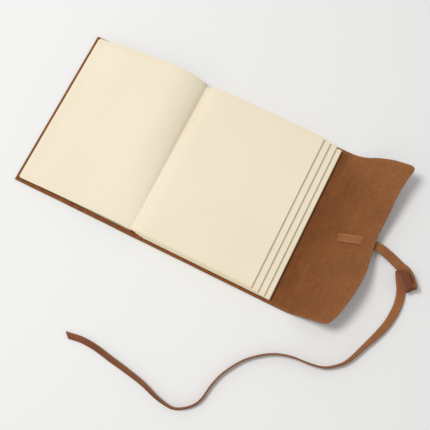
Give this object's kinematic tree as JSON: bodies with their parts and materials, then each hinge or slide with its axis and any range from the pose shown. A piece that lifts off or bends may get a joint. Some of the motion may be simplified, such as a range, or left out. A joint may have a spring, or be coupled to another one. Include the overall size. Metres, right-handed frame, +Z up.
{
  "type": "sketchbook",
  "caption": "Hand-bound sketchbook lying open, with stepped paper gatherings, a limp leather cover that folds round the fore-edge as a flap, and a long tie thong.",
  "frame": {"origin": "middle of the back cover's underside, on the table", "axes": "+X across the open spread towards the wrap flap, +Y towards the head of the pages, +Z up"},
  "size_m": [0.429, 0.3243, 0.0297],
  "materials": {
    "hide": "napped suede inside, smooth grain outside",
    "thong": "matt, soft nap",
    "card": "matt",
    "endpaper": "matt",
    "paper": "uncoated cream drawing paper",
    "lining": "matt open weave",
    "thread": "waxed linen"
  },
  "bodies": {
    "back": {"back_cover_leather": "hide", "back_board": "card", "back_pastedown": "endpaper", "back_flyleaf": "endpaper", "signature_4": "paper", "signature_1_fold": "paper", "signature_2_fold": "paper", "signature_3_fold": "paper", "signature_4_fold": "paper"},
    "spine": {"spine_leather": "hide", "spine_lining": "lining", "sewing_tape_head": "lining", "sewing_tape_middle": "lining", "sewing_tape_tail": "lining", "kettle_stitch_head": "thread", "kettle_stitch_tail": "thread", "gutter_thread": "thread"},
    "front": {"front_cover_leather": "hide", "front_board": "card", "front_pastedown": "endpaper"},
    "fore_edge": {"fore_edge_leather": "hide"},
    "flap": {"flap_leather": "hide", "flap_head_corner": "hide", "flap_tail_corner": "hide", "thong_anchor": "thong", "thong_lead": "thong", "thong_loop": "thong", "thong_tail": "thong"},
    "gathering_1": {"signature_1": "paper"},
    "gathering_2": {"signature_2": "paper"},
    "gathering_3": {"signature_3": "paper"},
    "first_leaf": {"front_leaf": "paper", "front_leaf_fold": "paper"}
  },
  "joints": [
    {"name": "spine_fold", "type": "hinge", "parent": "back", "child": "spine", "pos_m": [-0.0715, 0, 0.0011], "axis": [0, 1, 0], "range_deg": [0, 90], "deforming": ["signature_1_fold", "signature_2_fold", "signature_3_fold", "signature_4_fold"]},
    {"name": "front_cover_fold", "type": "hinge", "parent": "spine", "child": "front", "pos_m": [-0.0915, 0, 0.0011], "axis": [0, 1, 0], "range_deg": [0, 90]},
    {"name": "first_leaf_turn", "type": "hinge", "parent": "spine", "child": "first_leaf", "pos_m": [-0.0905, 0, 0.0021], "axis": [0, 1, 0], "range_deg": [0, 90], "deforming": ["front_leaf_fold"]},
    {"name": "gathering_1_shift", "type": "slide", "parent": "back", "child": "gathering_1", "axis": [1, 0, 0], "range_m": [0, 0.0215]},
    {"name": "gathering_2_shift", "type": "slide", "parent": "back", "child": "gathering_2", "axis": [1, 0, 0], "range_m": [0, 0.0135]},
    {"name": "gathering_3_shift", "type": "slide", "parent": "back", "child": "gathering_3", "axis": [1, 0, 0], "range_m": [0, 0.006]},
    {"name": "fore_edge_fold", "type": "hinge", "parent": "back", "child": "fore_edge", "pos_m": [0.0715, 0, 0.0011], "axis": [0, -1, 0], "range_deg": [0, 90]},
    {"name": "flap_fold", "type": "hinge", "parent": "fore_edge", "child": "flap", "pos_m": [0.0985, 0, 0.0011], "axis": [0, -1, 0], "range_deg": [0, 83], "deforming": ["flap_head_corner", "flap_tail_corner"]}
  ],
  "couplings": [
    {"joint": "front_cover_fold", "follows": "spine_fold", "ratio": 1},
    {"joint": "first_leaf_turn", "follows": "spine_fold", "ratio": 1},
    {"joint": "gathering_1_shift", "follows": "spine_fold", "m_per_rad": 0.01368},
    {"joint": "gathering_2_shift", "follows": "spine_fold", "m_per_rad": 0.00859},
    {"joint": "gathering_3_shift", "follows": "spine_fold", "m_per_rad": 0.00381},
    {"joint": "flap_fold", "follows": "fore_edge_fold", "ratio": 0.922}
  ]
}
